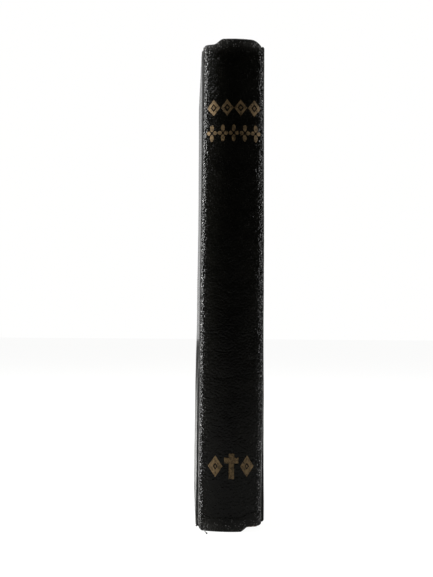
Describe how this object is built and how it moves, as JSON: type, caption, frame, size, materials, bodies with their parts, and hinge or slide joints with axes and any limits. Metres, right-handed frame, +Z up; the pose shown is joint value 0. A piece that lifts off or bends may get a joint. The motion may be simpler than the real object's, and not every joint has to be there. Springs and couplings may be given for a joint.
{
  "type": "bible",
  "caption": "Thick closed book with soft black leather covers, rounded spine with small gilt ornaments, thin leaves and a ribbon marker.",
  "frame": {"origin": "on the surface the book stands on, under the middle of the closed book", "axes": "+Z up the spine from tail to head, +X out of the front cover, +Y from the spine to the fore edge, so the spine faces -Y"},
  "size_m": [0.0299, 0.1452, 0.22],
  "materials": {
    "leather": "fine pebble grain, soft sheen",
    "card": "plain grey-brown board",
    "lining": "brown paper",
    "paper": "thin opaque paper",
    "endpaper": "smooth uncoated paper",
    "cloth": "open-weave cloth",
    "thread": "twisted linen thread",
    "band": "striped woven band",
    "gilt": "worn dull foil",
    "ribbon": "woven satin"
  },
  "bodies": {
    "spine": {"spine_leather": "leather", "spine_inlay": "card", "spine_lining": "lining", "super_cloth": "cloth", "sewn_folds": "paper", "sewing_threads": "thread", "head_band": "band", "tail_band": "band", "spine_gilding": "gilt", "loose_threads": "leather"},
    "front_half": {"front_leaves": "paper", "front_joint_leather": "leather"},
    "back_half": {"back_leaves": "paper", "back_joint_leather": "leather", "ribbon_band": "ribbon"},
    "front_cover": {"front_cover_leather": "leather", "front_cover_board": "card", "front_pastedown": "endpaper", "front_cover_gilding": "gilt"},
    "back_cover": {"back_cover_leather": "leather", "back_cover_board": "card", "back_pastedown": "endpaper"},
    "front_endleaf": {"front_flyleaf": "endpaper"},
    "back_endleaf": {"back_flyleaf": "endpaper"},
    "standing_leaf": {"middle_leaf": "paper"},
    "ribbon_end": {"ribbon_tail": "ribbon"}
  },
  "joints": [
    {"name": "front_half_turn", "type": "hinge", "parent": "spine", "child": "front_half", "pos_m": [0.0152, -0.063, 0.11], "axis": [0, 0, 1], "range_deg": [-90, 0]},
    {"name": "back_half_turn", "type": "hinge", "parent": "spine", "child": "back_half", "pos_m": [-0.0152, -0.063, 0.11], "axis": [0, 0, -1], "range_deg": [-90, 0]},
    {"name": "front_cover_hinge", "type": "hinge", "parent": "front_half", "child": "front_cover", "pos_m": [0.0152, -0.0588, 0.11], "axis": [0, 0, -1], "range_deg": [0, 180]},
    {"name": "back_cover_hinge", "type": "hinge", "parent": "back_half", "child": "back_cover", "pos_m": [-0.0152, -0.0588, 0.11], "axis": [0, 0, 1], "range_deg": [0, 180]},
    {"name": "front_flyleaf_turn", "type": "hinge", "parent": "front_half", "child": "front_endleaf", "pos_m": [0.01262, -0.0588, 0.11], "axis": [0, 0, -1], "range_deg": [0, 90]},
    {"name": "back_flyleaf_turn", "type": "hinge", "parent": "back_half", "child": "back_endleaf", "pos_m": [-0.01262, -0.0588, 0.11], "axis": [0, 0, 1], "range_deg": [0, 90]},
    {"name": "middle_leaf_turn", "type": "hinge", "parent": "spine", "child": "standing_leaf", "pos_m": [0.00016, -0.063, 0.11], "axis": [0, 0, 1], "range_deg": [-45, 0]},
    {"name": "ribbon_swing", "type": "hinge", "parent": "back_half", "child": "ribbon_end", "pos_m": [0, 0.069, 0.062], "axis": [0, 1, 0], "range_deg": [-12, 12]}
  ],
  "couplings": [
    {"joint": "front_flyleaf_turn", "follows": "front_cover_hinge", "ratio": 0.5},
    {"joint": "back_flyleaf_turn", "follows": "back_cover_hinge", "ratio": 0.5},
    {"joint": "middle_leaf_turn", "follows": "front_half_turn", "ratio": 0.45}
  ]
}
